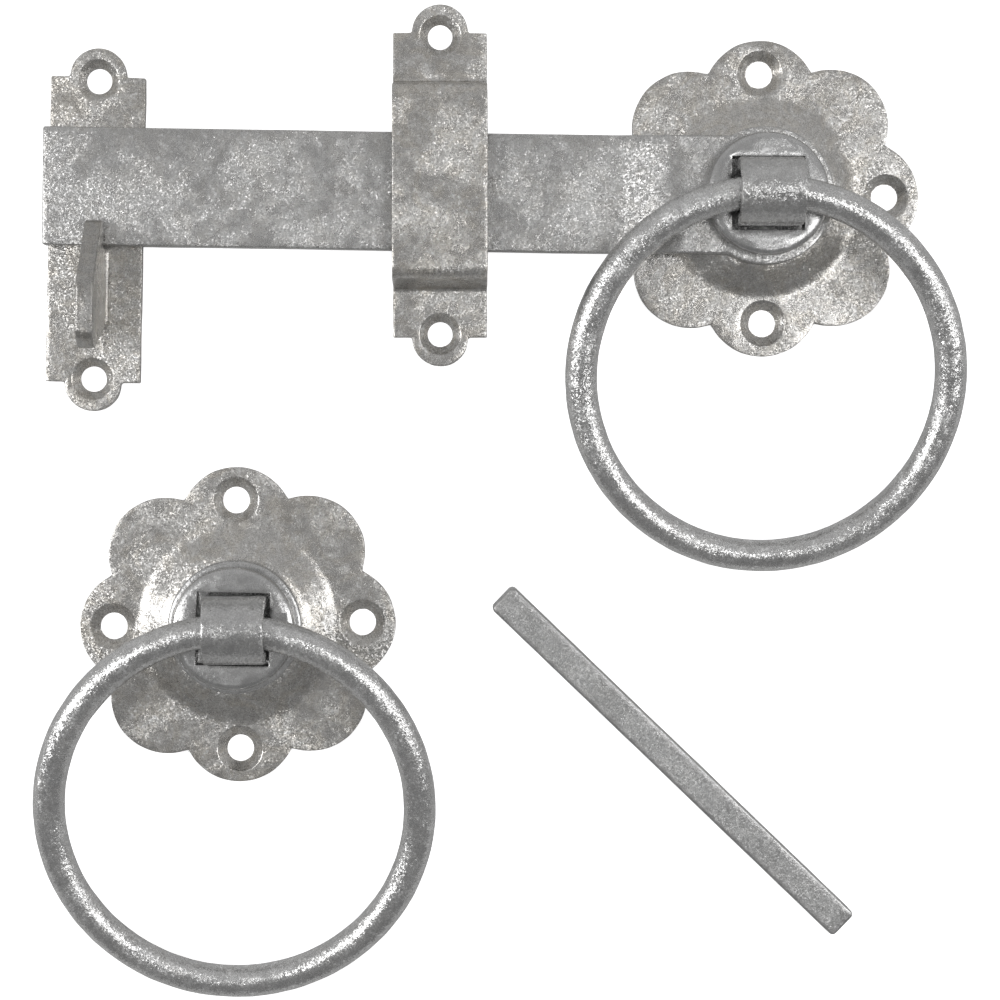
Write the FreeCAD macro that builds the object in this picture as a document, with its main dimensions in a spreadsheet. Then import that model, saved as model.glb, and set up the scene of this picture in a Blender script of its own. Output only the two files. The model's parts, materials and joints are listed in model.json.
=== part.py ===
import FreeCAD, Part
import os
import Sketcher

# Ring gate latch kit in galvanised steel, laid out flat with its fixing faces down on z = 0.
#
# The origin is the latch rose's axis on its fixing face. +X points away from the post, -X along
# the latch bar to the striker, and +Z out of the gate. Lengths are millimetres, angles degrees.

# Every size that can be set by itself, once. Heights above the fixing face are worked out below.
SIZES = (
    # Roses: scalloped sheet with a pressed dome
    ("rose_thickness", 2.5),
    ("lobe_count", 8),
    ("lobe_circle_radius", 25.6),
    ("lobe_radius", 14.4),
    ("dome_foot_radius", 24.3),
    ("dome_top_radius", 17.5),
    ("dome_rise", 4.5),
    ("rose_hole_count", 4),
    ("rose_hole_circle", 63.0),
    ("rose_hole_diameter", 6.5),
    ("rose_countersink_diameter", 11.4),
    ("rose_turn", 0.8),
    # Drives: boss in front of the rose, neck through it, rivet head behind a washer
    ("boss_diameter", 30.5),
    ("boss_height", 5.8),
    ("boss_chamfer", 1.3),
    ("recess_depth", 5.2),
    ("neck_square", 15.0),
    ("neck_diameter", 14.6),
    ("washer_diameter", 22.0),
    ("washer_thickness", 1.2),
    ("rivet_head_diameter", 17.6),
    ("rivet_head_thickness", 1.1),
    ("socket_depth", 9.5),
    ("spacer_diameter", 33.4),
    # Strap eyes and rings
    ("eye_thickness", 3.3),
    ("latch_eye_width", 16.0),
    ("latch_eye_shift", 0.0),
    ("handle_eye_width", 15.2),
    ("handle_eye_shift", 0.8),
    ("handle_boss_turn", -1.2),
    ("ring_outside_diameter", 100.4),
    ("ring_rod_diameter", 8.2),
    # Latch bar
    ("bar_width", 29.6),
    ("bar_thickness", 5.0),
    ("bar_reach", 180.4),
    ("bar_end_diameter", 34.6),
    ("bar_back_height", 3.6),
    ("joggle_near", 22.6),
    ("joggle_far", 36.0),
    ("bar_slope", 0.8),
    # Staple over the bar
    ("staple_x", -81.2),
    ("staple_width", 24.0),
    ("staple_thickness", 2.5),
    ("staple_height", 15.5),
    ("staple_lift_room", 9.0),
    ("staple_drop_room", 4.8),
    ("staple_wall_slant", 2.2),
    ("staple_foot_length", 12.1),
    ("staple_hole_diameter", 6.0),
    # Striker plate and its hook
    ("striker_inset", 12.5),
    ("striker_y", -8.1),
    ("striker_turn", -1.3),
    ("striker_width", 24.0),
    ("striker_thickness", 3.0),
    ("striker_hole_spacing", 75.0),
    ("striker_hole_diameter", 6.2),
    ("hook_offset", 0.9),
    ("hook_thickness", 4.5),
    ("hook_height", 27.0),
    ("hook_base_length", 19.4),
    ("hook_nose_back", 9.0),
    ("hook_nose_length", 13.9),
    ("hook_heel_back", 3.3),
    ("hook_heel_drop", 5.0),
    ("lip_reach", 6.5),
    ("lip_slope", 0.8),
    ("lip_tip", 3.6),
    # Lugs at the ends of the staple and the striker plate
    ("lug_radius", 7.2),
    ("lug_hole_inset", 1.0),
    ("lug_countersink_diameter", 10.4),
    # Spindle, lying beside the kit
    ("spindle_size", 8.0),
    ("spindle_length", 120.0),
    ("spindle_chamfer", 0.7),
    ("spindle_x", -22.5),
    ("spindle_y", -142.1),
    ("spindle_turn", -43.9),
    # Where the handle rose lies
    ("handle_x", -132.4),
    ("handle_y", -107.7),
    # Clearances
    ("running_clearance", 0.1),
    ("seat_clearance", 0.2),
    ("square_clearance", 0.15),
    ("spindle_clearance", 0.15),
    ("eye_clearance", 1.0),
    ("ring_clearance", 1.0),
    ("recess_clearance", 0.6),
    ("lip_clearance", 0.6),
    ("notch_clearance", 0.3),
)

# Heights above the fixing face, as formulas in the sheet's names
DOME_TOP = "(size.rose_thickness + size.dome_rise)"
BAR_BACK = f"({DOME_TOP} + size.seat_clearance)"
BOSS_BACK = f"({BAR_BACK} + size.bar_thickness)"
BOSS_FRONT = f"({BOSS_BACK} + size.boss_height)"
RECESS_FLOOR = f"({BOSS_FRONT} - size.recess_depth)"
WASHER_FRONT = "(size.dome_rise - size.seat_clearance)"
WASHER_BACK = f"({WASHER_FRONT} - size.washer_thickness)"
RIVET_BACK = f"({WASHER_BACK} - size.rivet_head_thickness)"
EYE_CENTRE = f"({BOSS_FRONT} + size.ring_rod_diameter / 2 + size.ring_clearance)"
EYE_LEG_HEIGHT = f"({EYE_CENTRE} - {RECESS_FLOOR})"
BAR_LOW_FRONT = "(size.bar_back_height + size.bar_thickness)"
LIP_BACK = f"({BAR_LOW_FRONT} + size.lip_clearance)"

# Sizes shared by two or more pieces
NECK_BORE_RADIUS = "(size.neck_diameter / 2 + size.running_clearance)"
NECK_SQUARE_HOLE = "(size.neck_square + 2 * size.square_clearance)"
SOCKET_SIZE = "(size.spindle_size + 2 * size.spindle_clearance)"
RING_RADIUS = "((size.ring_outside_diameter - size.ring_rod_diameter) / 2)"
EYE_INSIDE_RADIUS = "(size.ring_rod_diameter / 2 + size.eye_clearance)"
EYE_OUTSIDE_RADIUS = f"({EYE_INSIDE_RADIUS} + size.eye_thickness)"
RECESS_SIZE = f"(2 * ({EYE_OUTSIDE_RADIUS} + size.recess_clearance))"
BAR_RISE_AT_STAPLE = "(-size.staple_x * tan(size.bar_slope * 1 deg))"
STAPLE_Y = (
    f"({BAR_RISE_AT_STAPLE} + (size.staple_lift_room - size.staple_drop_room) / 2)"
)
STAPLE_INSIDE = "((size.bar_width + size.staple_lift_room + size.staple_drop_room) / 2)"
STRIKER_X = "(size.striker_inset - size.bar_reach)"
NOTCH_FLOOR = (
    f"(-size.bar_width / 2 - {STRIKER_X} * tan(size.bar_slope * 1 deg)"
    " - size.striker_y - size.notch_clearance)"
)
COUNTERSINK_ANGLE = 90

doc = FreeCAD.newDocument("ring_latch")
sheet = doc.addObject("Spreadsheet::Sheet", "size")
for row, (alias, value) in enumerate(SIZES, start=1):
    sheet.set(f"A{row}", str(value))
    sheet.setAlias(f"A{row}", alias)
doc.recompute()

gauge = doc.addObject("App::FeaturePython", "gauge")
gauge.addProperty("App::PropertyFloat", "Reading")
parts = []


def reading(formula):
    """The number that a formula in the sheet's names gives now."""
    gauge.setExpression("Reading", formula)
    gauge.recompute()
    return gauge.Reading


def place(obj, x="0", y="0", z="0", turn="0", axis=(0, 0, 1)):
    """Put an object at x, y, z, turned about an axis, all bound to the sheet."""
    start = FreeCAD.Rotation(FreeCAD.Vector(*axis), 1)
    obj.Placement = FreeCAD.Placement(FreeCAD.Vector(0, 0, 0), start)
    for coordinate, formula in (("x", x), ("y", y), ("z", z)):
        obj.setExpression(f"Placement.Base.{coordinate}", formula)
    obj.setExpression("Placement.Rotation.Angle", turn)


def new_body(label):
    """A body whose label is the name of its node."""
    body = doc.addObject("PartDesign::Body", label)
    body.Label = label
    parts.append(body)
    return body


def new_sketch(body, role, name, lift="0"):
    """A sketch on one of the body's own origin planes, lifted along the plane's normal."""
    sketch = body.newObject("Sketcher::SketchObject", f"{body.Name}_{name}")
    plane = next(f for f in body.Origin.OriginFeatures if f.Role == role)
    sketch.AttachmentSupport = [(plane, "")]
    sketch.MapMode = "FlatFace"
    sketch.setExpression("AttachmentOffset.Base.z", lift)
    return sketch


def bind_point(sketch, geometry, vertex, x, y):
    """Hold a point of the sketch at x, y from the sketch's origin."""
    for kind, formula in (("DistanceX", x), ("DistanceY", y)):
        rule = Sketcher.Constraint(kind, -1, 1, geometry, vertex, reading(formula))
        index = sketch.addConstraint(rule)
        name = f"{kind}_{index}"
        sketch.renameConstraint(index, name)
        sketch.setExpression(f"Constraints.{name}", formula)


def draw_outline(sketch, corners):
    """A closed outline of straight lines through corners given as pairs of formulas."""
    first = sketch.GeometryCount
    points = [FreeCAD.Vector(reading(x), reading(y), 0) for x, y in corners]
    following = points[1:] + points[:1]
    for start, end in zip(points, following):
        sketch.addGeometry(Part.LineSegment(start, end))
    count = len(points)
    for index in range(count):
        joint = (first + index, 2, first + (index + 1) % count, 1)
        sketch.addConstraint(Sketcher.Constraint("Coincident", *joint))
    for index, (x, y) in enumerate(corners):
        bind_point(sketch, first + index, 1, x, y)


def draw_rectangle(sketch, width, height, x="0", y="0"):
    """A rectangle of the given width and height about x, y."""
    left, right = f"{x} - {width} / 2", f"{x} + {width} / 2"
    bottom, top = f"{y} - {height} / 2", f"{y} + {height} / 2"
    draw_outline(
        sketch, ((left, bottom), (right, bottom), (right, top), (left, top))
    )


def draw_circle(sketch, radius, x="0", y="0"):
    """A circle about x, y."""
    centre = FreeCAD.Vector(reading(x), reading(y), 0)
    normal = FreeCAD.Vector(0, 0, 1)
    geometry = sketch.addGeometry(Part.Circle(centre, normal, reading(radius)))
    index = sketch.addConstraint(
        Sketcher.Constraint("Radius", geometry, reading(radius))
    )
    name = f"Radius_{index}"
    sketch.renameConstraint(index, name)
    sketch.setExpression(f"Constraints.{name}", radius)
    bind_point(sketch, geometry, 3, x, y)


def pad(body, sketch, length):
    """Pad a sketch along its normal."""
    feature = body.newObject("PartDesign::Pad", f"{sketch.Name}_pad")
    feature.Profile = sketch
    feature.setExpression("Length", length)
    doc.recompute()
    return feature


def pocket(body, sketch, length):
    """Cut a sketch into the body, against the sketch's normal."""
    before = body.Shape.Volume
    feature = body.newObject("PartDesign::Pocket", f"{sketch.Name}_pocket")
    feature.Profile = sketch
    feature.setExpression("Length", length)
    doc.recompute()
    if body.Shape.Volume >= before:
        raise RuntimeError(f"{feature.Name} cuts nothing")
    return feature


def turned(body, kind, name, profile):
    """Revolve a half profile of radius and height pairs about the body's Z axis."""
    sketch = new_sketch(body, "XZ_Plane", name)
    draw_outline(sketch, profile)
    feature = body.newObject(f"PartDesign::{kind}", f"{body.Name}_{name}_turned")
    feature.Profile = sketch
    feature.ReferenceAxis = (sketch, ["V_Axis"])
    feature.Angle = 360
    doc.recompute()
    return feature


def polar(body, feature, count):
    """Repeat a feature round the body's Z axis and make the result the body's tip."""
    pattern = body.newObject("PartDesign::PolarPattern", f"{feature.Name}_polar")
    pattern.Originals = [feature]
    axis = next(f for f in body.Origin.OriginFeatures if f.Role == "Z_Axis")
    pattern.Axis = (axis, [""])
    pattern.Angle = 360
    pattern.setExpression("Occurrences", count)
    body.Tip = pattern
    doc.recompute()
    return pattern


def screw_holes(body, centres, thickness, diameter, countersink):
    """Countersunk screw holes from the front of a plate lying on the fixing face."""
    sketch = new_sketch(body, "XY_Plane", "screws", lift=thickness)
    for x, y in centres:
        draw_circle(sketch, f"{diameter} / 2", x, y)
    doc.recompute()
    hole = body.newObject("PartDesign::Hole", f"{body.Name}_screw_hole")
    hole.Profile = sketch
    doc.recompute()
    hole.ThreadType = "None"
    hole.DepthType = "ThroughAll"
    hole.HoleCutType = "Countersink"
    hole.HoleCutCountersinkAngle = COUNTERSINK_ANGLE
    hole.setExpression("Diameter", diameter)
    hole.setExpression("HoleCutDiameter", countersink)
    doc.recompute()
    return hole


def edges_where(shape, test):
    """Names of the edges whose middle passes a test."""
    names = []
    for index, edge in enumerate(shape.Edges, start=1):
        middle = edge.valueAt((edge.FirstParameter + edge.LastParameter) / 2)
        if test(edge, middle):
            names.append(f"Edge{index}")
    return names


def build_rose(label, x, y):
    """A scalloped plate with a pressed dome, hollow behind, and a bore for the neck."""
    body = new_body(label)
    core = new_sketch(body, "XY_Plane", "core")
    draw_circle(core, "size.lobe_circle_radius")
    pad(body, core, "size.rose_thickness")
    lobe = new_sketch(body, "XY_Plane", "lobe")
    draw_circle(lobe, "size.lobe_radius", x="size.lobe_circle_radius")
    polar(body, pad(body, lobe, "size.rose_thickness"), "size.lobe_count")

    slope = "atan(size.dome_rise / (size.dome_foot_radius - size.dome_top_radius))"
    setback = f"size.rose_thickness * tan({slope} / 2)"
    outside = (
        ("0", "0"),
        ("size.dome_foot_radius", "0"),
        ("size.dome_foot_radius", "size.rose_thickness"),
        ("size.dome_top_radius", DOME_TOP),
        ("0", DOME_TOP),
    )
    turned(body, "Revolution", "dome", outside)
    hollow = (
        ("0", "0"),
        (f"size.dome_foot_radius - {setback}", "0"),
        (f"size.dome_top_radius - {setback}", "size.dome_rise"),
        ("0", "size.dome_rise"),
    )
    turned(body, "Groove", "hollow", hollow)
    bore = new_sketch(body, "XY_Plane", "bore", lift=DOME_TOP)
    draw_circle(bore, NECK_BORE_RADIUS)
    pocket(body, bore, DOME_TOP)

    centre = (("size.rose_hole_circle / 2", "0"),)
    hole = screw_holes(
        body,
        centre,
        "size.rose_thickness",
        "size.rose_hole_diameter",
        "size.rose_countersink_diameter",
    )
    polar(body, hole, "size.rose_hole_count")
    place(body, x, y, turn="size.rose_turn * 1 deg")


def build_boss(label, x, y, turn):
    """A turned drive: boss with a square recess, square and round neck, rivet head, socket."""
    body = new_body(label)
    neck = "size.neck_diameter / 2"
    head = "size.rivet_head_diameter / 2"
    boss = "size.boss_diameter / 2"
    profile = (
        ("0", RIVET_BACK),
        (head, RIVET_BACK),
        (head, WASHER_BACK),
        (neck, WASHER_BACK),
        (neck, BOSS_BACK),
        (boss, BOSS_BACK),
        (boss, f"{BOSS_FRONT} - size.boss_chamfer"),
        (f"{boss} - size.boss_chamfer", BOSS_FRONT),
        ("0", BOSS_FRONT),
    )
    turned(body, "Revolution", "drive", profile)
    square = new_sketch(body, "XY_Plane", "square", lift=BAR_BACK)
    draw_rectangle(square, "size.neck_square", "size.neck_square")
    pad(body, square, "size.bar_thickness")
    recess = new_sketch(body, "XY_Plane", "recess", lift=BOSS_FRONT)
    draw_rectangle(recess, RECESS_SIZE, RECESS_SIZE)
    pocket(body, recess, "size.recess_depth")
    socket = new_sketch(
        body, "XY_Plane", "socket", lift=f"{RIVET_BACK} + size.socket_depth"
    )
    draw_rectangle(socket, SOCKET_SIZE, SOCKET_SIZE)
    pocket(body, socket, "size.socket_depth")
    place(body, x, y, turn=turn)


def build_disc(label, x, y, turn, back, thickness, diameter, square_hole):
    """A washer, or a spacer whose square hole lines up with its drive's neck."""
    body = new_body(label)
    sketch = new_sketch(body, "XY_Plane", "disc", lift=back)
    draw_circle(sketch, f"{diameter} / 2")
    if square_hole:
        draw_rectangle(sketch, NECK_SQUARE_HOLE, NECK_SQUARE_HOLE)
    else:
        draw_circle(sketch, NECK_BORE_RADIUS)
    pad(body, sketch, thickness)
    place(body, x, y, turn=turn)


def build_eye(label, x, y, width, shift):
    """A strap bent round the ring's rod, with both legs standing in the boss's recess."""
    body = new_body(label)
    start = f"{shift} - {width} / 2"
    legs = new_sketch(body, "YZ_Plane", "legs", lift=start)
    draw_rectangle(
        legs,
        f"(2 * {EYE_OUTSIDE_RADIUS})",
        EYE_LEG_HEIGHT,
        y=f"{RECESS_FLOOR} + {EYE_LEG_HEIGHT} / 2",
    )
    pad(body, legs, width)
    crown = new_sketch(body, "YZ_Plane", "crown", lift=start)
    draw_circle(crown, EYE_OUTSIDE_RADIUS, y=EYE_CENTRE)
    pad(body, crown, width)
    end = f"{shift} + {width} / 2"
    inside = new_sketch(body, "YZ_Plane", "inside", lift=end)
    draw_circle(inside, EYE_INSIDE_RADIUS, y=EYE_CENTRE)
    pocket(body, inside, width)
    throat = new_sketch(body, "YZ_Plane", "throat", lift=end)
    draw_rectangle(
        throat,
        f"(2 * {EYE_INSIDE_RADIUS})",
        EYE_LEG_HEIGHT,
        y=f"{RECESS_FLOOR} + {EYE_LEG_HEIGHT} / 2",
    )
    pocket(body, throat, width)
    place(body, x, y)


def build_ring(label, x, y):
    """A ring of round rod, hung in its eye and leaning down until its far side lies on z = 0."""
    ring = doc.addObject("Part::Torus", label)
    ring.Label = label
    ring.setExpression("Radius1", RING_RADIUS)
    ring.setExpression("Radius2", "size.ring_rod_diameter / 2")
    drop = f"({EYE_CENTRE} - size.ring_rod_diameter / 2)"
    lean = f"asin({drop} / (2 * {RING_RADIUS}))"
    place(
        ring,
        x=x,
        y=f"{y} - {RING_RADIUS} * cos({lean})",
        z=f"{EYE_CENTRE} - {drop} / 2",
        turn=lean,
        axis=(1, 0, 0),
    )
    parts.append(ring)


def build_bar():
    """The latch bar: flat, joggled up over the rose, with a round end on the square neck."""
    body = new_body("latch_bar")
    side = new_sketch(body, "XZ_Plane", "side", lift="-size.bar_width / 2")
    low_back = "size.bar_back_height"
    slope = f"atan(({BAR_BACK} - {low_back}) / (size.joggle_far - size.joggle_near))"
    setback = f"size.bar_thickness * tan({slope} / 2)"
    outline = (
        ("-size.bar_reach", low_back),
        ("-size.joggle_far", low_back),
        ("-size.joggle_near", BAR_BACK),
        ("0", BAR_BACK),
        ("0", BOSS_BACK),
        (f"-size.joggle_near - {setback}", BOSS_BACK),
        (f"-size.joggle_far - {setback}", BAR_LOW_FRONT),
        ("-size.bar_reach", BAR_LOW_FRONT),
    )
    draw_outline(side, outline)
    pad(body, side, "size.bar_width")
    end = new_sketch(body, "XY_Plane", "end", lift=BAR_BACK)
    draw_circle(end, "size.bar_end_diameter / 2")
    pad(body, end, "size.bar_thickness")
    hole = new_sketch(body, "XY_Plane", "hole", lift=BOSS_BACK)
    draw_rectangle(hole, NECK_SQUARE_HOLE, NECK_SQUARE_HOLE)
    pocket(body, hole, "size.bar_thickness")
    place(body, turn="-size.bar_slope * 1 deg")


def add_lugs(body, thickness, shoulder, diameter):
    """Half-round lugs at both ends of a strap that lies along Y, with their screw holes."""
    lugs = new_sketch(body, "XY_Plane", "lugs")
    for end in (f"-{shoulder}", shoulder):
        draw_circle(lugs, "size.lug_radius", y=end)
    pad(body, lugs, thickness)
    centres = [
        ("0", f"-({shoulder} - size.lug_hole_inset)"),
        ("0", f"{shoulder} - size.lug_hole_inset"),
    ]
    screw_holes(body, centres, thickness, diameter, "size.lug_countersink_diameter")


def build_staple():
    """The strap that bridges the bar, with a foot and a lug at each end."""
    body = new_body("staple")
    thickness = "size.staple_thickness"
    roof = f"({STAPLE_INSIDE} + {thickness})"
    bend = f"({roof} + size.staple_wall_slant)"
    shoulder = f"({bend} + size.staple_foot_length)"
    inner_foot = f"({bend} - {thickness})"
    height = "size.staple_height"
    right_half = (
        (shoulder, "0"),
        (shoulder, thickness),
        (bend, thickness),
        (roof, height),
    )
    inner_half = (
        (STAPLE_INSIDE, f"{height} - {thickness}"),
        (inner_foot, "0"),
    )
    mirrored = [(f"-{y}", z) for y, z in right_half]
    inner_left = [(f"-{y}", z) for y, z in inner_half]
    outline = list(right_half) + mirrored[::-1] + inner_left[::-1] + list(inner_half)
    side = new_sketch(body, "YZ_Plane", "side", lift="-size.staple_width / 2")
    draw_outline(side, outline)
    pad(body, side, "size.staple_width")
    add_lugs(body, thickness, shoulder, "size.staple_hole_diameter")
    place(body, x="size.staple_x", y=STAPLE_Y)


def build_striker():
    """The striker plate and the hook that stands on it."""
    plate = new_body("striker_plate")
    shoulder = "(size.striker_hole_spacing / 2 + size.lug_hole_inset)"
    sketch = new_sketch(plate, "XY_Plane", "plate")
    draw_rectangle(sketch, "size.striker_width", f"(2 * {shoulder})")
    pad(plate, sketch, "size.striker_thickness")
    add_lugs(plate, "size.striker_thickness", shoulder, "size.striker_hole_diameter")

    hook = new_body("striker_hook")
    start = "size.hook_offset - size.hook_thickness / 2"
    side = new_sketch(hook, "YZ_Plane", "side", lift=start)
    nose = f"{NOTCH_FLOOR} - size.hook_nose_back"
    heel = f"{nose} - size.hook_nose_length - size.hook_heel_back"
    outline = (
        (f"{NOTCH_FLOOR} - size.hook_base_length", "size.striker_thickness"),
        (NOTCH_FLOOR, "size.striker_thickness"),
        (NOTCH_FLOOR, LIP_BACK),
        (f"{NOTCH_FLOOR} + size.lip_reach", f"{LIP_BACK} + size.lip_slope"),
        (
            f"{NOTCH_FLOOR} + size.lip_reach",
            f"{LIP_BACK} + size.lip_slope + size.lip_tip",
        ),
        (nose, "size.hook_height"),
        (f"{nose} - size.hook_nose_length", "size.hook_height"),
        (heel, "size.hook_height - size.hook_heel_drop"),
    )
    draw_outline(side, outline)
    pad(hook, side, "size.hook_thickness")
    for body in (plate, hook):
        place(
            body,
            x=STRIKER_X,
            y="size.striker_y",
            turn="size.striker_turn * 1 deg",
        )


def build_spindle():
    """The square spindle, lying flat beside the roses."""
    body = new_body("spindle")
    section = new_sketch(
        body, "YZ_Plane", "section", lift="-size.spindle_length / 2"
    )
    draw_rectangle(
        section, "size.spindle_size", "size.spindle_size", y="size.spindle_size / 2"
    )
    bar = pad(body, section, "size.spindle_length")
    half = reading("size.spindle_length / 2")
    ends = edges_where(
        bar.Shape, lambda edge, middle: abs(abs(middle.x) - half) < 1e-6
    )
    chamfer = body.newObject("PartDesign::Chamfer", "spindle_ends")
    chamfer.Base = (bar, ends)
    chamfer.setExpression("Size", "size.spindle_chamfer")
    place(
        body, x="size.spindle_x", y="size.spindle_y", turn="size.spindle_turn * 1 deg"
    )


def check_and_write():
    """Refuse a failed or empty shape, then write one STEP file for each part."""
    doc.recompute()
    for obj in doc.Objects:
        if "Invalid" in obj.State or "Error" in obj.State:
            raise RuntimeError(f"{obj.Name} failed: {obj.State}")
    for part in parts:
        if part.Shape.isNull() or not part.Shape.isValid():
            raise RuntimeError(f"{part.Label} has no valid shape")
        if len(part.Shape.Solids) != 1:
            raise RuntimeError(f"{part.Label} is not one solid")
    os.makedirs("parts", exist_ok=True)
    for part in parts:
        part.Shape.exportStep(os.path.join("parts", f"{part.Label}.step"))
        box = part.Shape.BoundBox
        print(
            f"{part.Label}: {part.Shape.Volume:.0f} mm3,"
            f" x {box.XMin:.1f} to {box.XMax:.1f}, y {box.YMin:.1f} to {box.YMax:.1f},"
            f" z {box.ZMin:.2f} to {box.ZMax:.2f}"
        )


# The latch side at the origin and the handle side at its own place share every size but these
SIDES = (
    ("latch", "0", "0", "0"),
    ("handle", "size.handle_x", "size.handle_y", "size.handle_boss_turn * 1 deg"),
)
for side_name, side_x, side_y, boss_turn in SIDES:
    build_rose(f"{side_name}_rose", side_x, side_y)
    build_boss(f"{side_name}_boss", side_x, side_y, boss_turn)
    build_disc(
        f"{side_name}_back_washer",
        side_x,
        side_y,
        boss_turn,
        WASHER_BACK,
        "size.washer_thickness",
        "size.washer_diameter",
        square_hole=False,
    )
    build_eye(
        f"{side_name}_eye",
        side_x,
        side_y,
        f"size.{side_name}_eye_width",
        f"size.{side_name}_eye_shift",
    )
    build_ring(f"{side_name}_ring", side_x, side_y)
build_disc(
    "handle_spacer",
    "size.handle_x",
    "size.handle_y",
    "size.handle_boss_turn * 1 deg",
    BAR_BACK,
    "size.bar_thickness",
    "size.spacer_diameter",
    square_hole=True,
)
build_bar()
build_staple()
build_striker()
build_spindle()
check_and_write()
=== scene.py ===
"""Looks for a galvanised ring gate latch kit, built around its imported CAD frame."""

import json
import logging
import math
from collections.abc import Callable, Sequence
from dataclasses import dataclass, field, replace
from enum import Enum

import bpy
from mathutils import Euler, Matrix, Vector


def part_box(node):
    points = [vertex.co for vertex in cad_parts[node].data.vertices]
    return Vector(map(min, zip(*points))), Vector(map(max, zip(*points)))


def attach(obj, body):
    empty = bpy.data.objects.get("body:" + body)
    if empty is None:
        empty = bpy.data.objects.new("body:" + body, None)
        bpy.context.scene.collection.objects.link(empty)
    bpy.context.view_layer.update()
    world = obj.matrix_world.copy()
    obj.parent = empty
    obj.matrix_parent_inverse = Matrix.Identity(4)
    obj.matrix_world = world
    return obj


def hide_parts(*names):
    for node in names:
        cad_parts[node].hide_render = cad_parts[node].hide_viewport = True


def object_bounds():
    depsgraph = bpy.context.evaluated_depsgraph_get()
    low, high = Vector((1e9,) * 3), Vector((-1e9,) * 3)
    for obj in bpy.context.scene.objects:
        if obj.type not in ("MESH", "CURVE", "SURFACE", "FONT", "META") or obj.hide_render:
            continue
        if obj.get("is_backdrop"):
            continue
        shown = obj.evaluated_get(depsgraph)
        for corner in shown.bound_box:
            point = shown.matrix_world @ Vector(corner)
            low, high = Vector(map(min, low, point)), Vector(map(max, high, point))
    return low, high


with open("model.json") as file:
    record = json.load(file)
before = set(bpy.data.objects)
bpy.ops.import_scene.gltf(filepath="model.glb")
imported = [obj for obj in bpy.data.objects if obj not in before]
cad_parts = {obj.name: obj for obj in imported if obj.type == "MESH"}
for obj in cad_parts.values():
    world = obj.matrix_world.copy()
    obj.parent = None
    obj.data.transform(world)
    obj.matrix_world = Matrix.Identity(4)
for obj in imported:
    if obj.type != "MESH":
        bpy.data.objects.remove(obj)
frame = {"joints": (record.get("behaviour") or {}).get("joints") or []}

MM = 0.001
TINY = 0.02 * MM
LOG = logging.getLogger("ring_latch")
Pair = tuple[float, float]
Point = tuple[float, float, float]
Piece = bpy.types.Object
Socket = bpy.types.NodeSocket
Test = Callable[[Vector, Vector], bool]


class Body(Enum):
    """The CAD bodies that pieces ride on."""

    FIXINGS = "fixings"
    LATCH_DRIVE = "latch_drive"
    LATCH_RING = "latch_ring"
    HANDLE_DRIVE = "handle_drive"
    HANDLE_RING = "handle_ring"


class Join(Enum):
    """Ways of combining one solid with another."""

    WELD = "UNION"
    CUT = "DIFFERENCE"
    TRIM = "INTERSECT"


class Pick(Enum):
    """What a selection in a mesh is made of."""

    POINTS = (True, False, False)
    EDGES = (False, True, False)
    FACES = (False, False, True)


# ---------------------------------------------------------------- finishes


@dataclass(frozen=True)
class ZincFinish:
    """One zinc surface: its tones, its mottling and how rough the dip left it.

    Scales are in features per metre, relief in metres.
    """

    slot: str
    dark: float
    light: float
    warmth: float
    roughness: Pair
    patch_scale: float = 60.0
    mottle_scale: float = 330.0
    grain_scale: float = 3400.0
    pit_amount: float = 0.5
    # sparkle: how strongly the painted glint, a brighter base colour on some crystals, shows.
    sparkle: float = 0.35
    relief: float = 0.22 * MM
    grit: float = 0.15
    facet: float = 0.17
    calm: float = 0.22
    turning_marks: bool = False
    metallic: float = 0.92


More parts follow.
